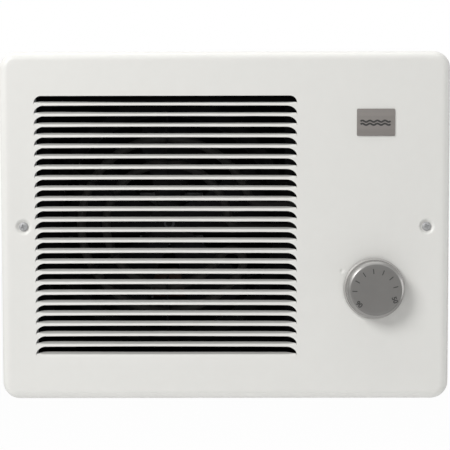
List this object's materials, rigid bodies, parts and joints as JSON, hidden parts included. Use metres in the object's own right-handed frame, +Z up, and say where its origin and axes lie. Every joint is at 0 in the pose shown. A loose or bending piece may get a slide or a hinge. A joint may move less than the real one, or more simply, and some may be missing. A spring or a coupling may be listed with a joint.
{
  "type": "wall fan heater",
  "caption": "In-wall fan-forced electric bathroom heater: white louvred steel cover with a thermostat knob, in front of a recessed steel can with element, fan and motor.",
  "frame": {"origin": "centre of the cover on the plane of the finished wall, which its rim rests on", "axes": "+X right as seen from the room, +Y into the wall, +Z up"},
  "size_m": [0.3112, 0.119, 0.2414],
  "materials": {
    "cover_paint": "satin white powder coat",
    "badge_satin": "satin taupe",
    "spring_steel": "bright spring steel",
    "knob_plastic": "fine matte, moulded",
    "zinc_screw": "zinc plated",
    "black_phosphate": "black phosphate",
    "galvanised": "galvanised",
    "green_screw": "green lacquer",
    "heat_black": "sheet in black heat-resistant paint",
    "element_sheath": "oxidised alloy sheath",
    "nickel_tab": "nickel plated",
    "ceramic_white": "unglazed",
    "phenolic_black": "moulded phenolic",
    "fan_black": "stamped sheet, black finish",
    "lamination_steel": "varnished laminations",
    "nylon_black": "moulded nylon",
    "copper_winding": "varnished copper wire",
    "die_cast": "die cast",
    "rotor_steel": "turned",
    "ground_steel": "ground",
    "phenolic_brown": "moulded phenolic",
    "brass_turned": "turned",
    "brass_tab": "stamped",
    "grommet_rubber": "soft",
    "lead_black": "glass-braid sleeve",
    "lead_red": "glass-braid sleeve"
  },
  "bodies": {
    "housing": {"front_grille": "cover_paint", "badge_plate": "badge_satin", "badge_push_nuts": "spring_steel", "cover_screws": "zinc_screw", "speed_nuts": "black_phosphate", "wall_can": "galvanised", "knockout_slugs": "galvanised", "ground_screw": "green_screw", "divider_plate": "galvanised", "baffle_plate": "heat_black", "baffle_screws": "zinc_screw", "heating_element": "element_sheath", "element_terminals": "nickel_tab", "element_bushings": "ceramic_white", "element_brackets": "heat_black", "bracket_rivets": "heat_black", "limit_switch": "phenolic_black", "limit_switch_screws": "zinc_screw", "motor_laminations": "lamination_steel", "motor_bobbin": "nylon_black", "motor_winding": "copper_winding", "motor_front_bracket": "die_cast", "motor_rear_bracket": "die_cast", "motor_screws": "zinc_screw", "motor_strap": "heat_black", "strap_rivets": "zinc_screw", "control_plate": "galvanised", "control_plate_screws": "zinc_screw", "thermostat_body": "phenolic_brown", "thermostat_neck": "brass_turned", "thermostat_nut": "brass_turned", "thermostat_terminals": "brass_tab", "terminal_block": "ceramic_white", "terminal_screws": "brass_tab", "lead_grommet": "grommet_rubber", "supply_leads": "lead_black", "limit_leads": "lead_red", "motor_leads": "lead_black"},
    "knob": {"control_knob": "knob_plastic", "knob_spring_clip": "spring_steel", "thermostat_shaft": "brass_turned"},
    "fan": {"fan_blade": "fan_black", "fan_push_nut": "black_phosphate", "motor_rotor": "rotor_steel", "motor_shaft": "ground_steel"}
  },
  "joints": [
    {"name": "knob_turn", "type": "hinge", "parent": "housing", "child": "knob", "pos_m": [0.10275, -0.0137, -0.0428], "axis": [0, -1, 0], "range_deg": [-66, 173]},
    {"name": "fan_spin", "type": "hinge", "parent": "housing", "child": "fan", "pos_m": [-0.0413, 0.04, 0], "axis": [0, 1, 0], "continuous": true}
  ]
}
